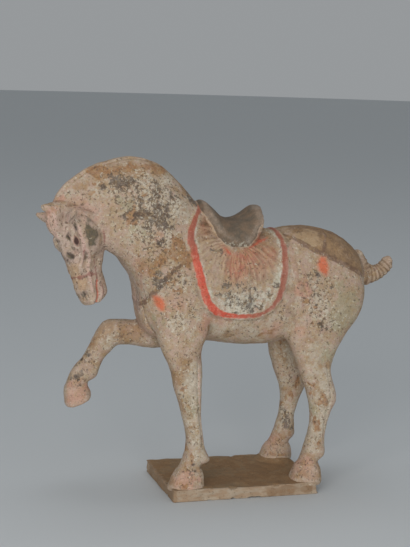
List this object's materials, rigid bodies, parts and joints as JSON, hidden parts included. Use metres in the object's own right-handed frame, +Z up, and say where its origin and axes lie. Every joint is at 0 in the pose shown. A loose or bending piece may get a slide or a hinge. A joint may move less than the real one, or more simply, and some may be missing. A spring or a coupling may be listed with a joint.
{
  "type": "painted pottery horse figure",
  "caption": "Painted pottery horse standing on a clay plate, one foreleg raised, head bent and turned, with saddle, saddle cloth and bound tail.",
  "frame": {"origin": "centre of the base plate's underside", "axes": "+Z up, the horse faces -X, and its left flank is towards -Y"},
  "size_m": [0.3962, 0.118, 0.355],
  "materials": {
    "painted_clay": "matt unglazed clay under worn pale slip with red and brown paint",
    "bare_clay": "matt unglazed clay stained brown by earth"
  },
  "bodies": {
    "root": {"horse": "painted_clay", "base_plate": "bare_clay"}
  },
  "joints": []
}
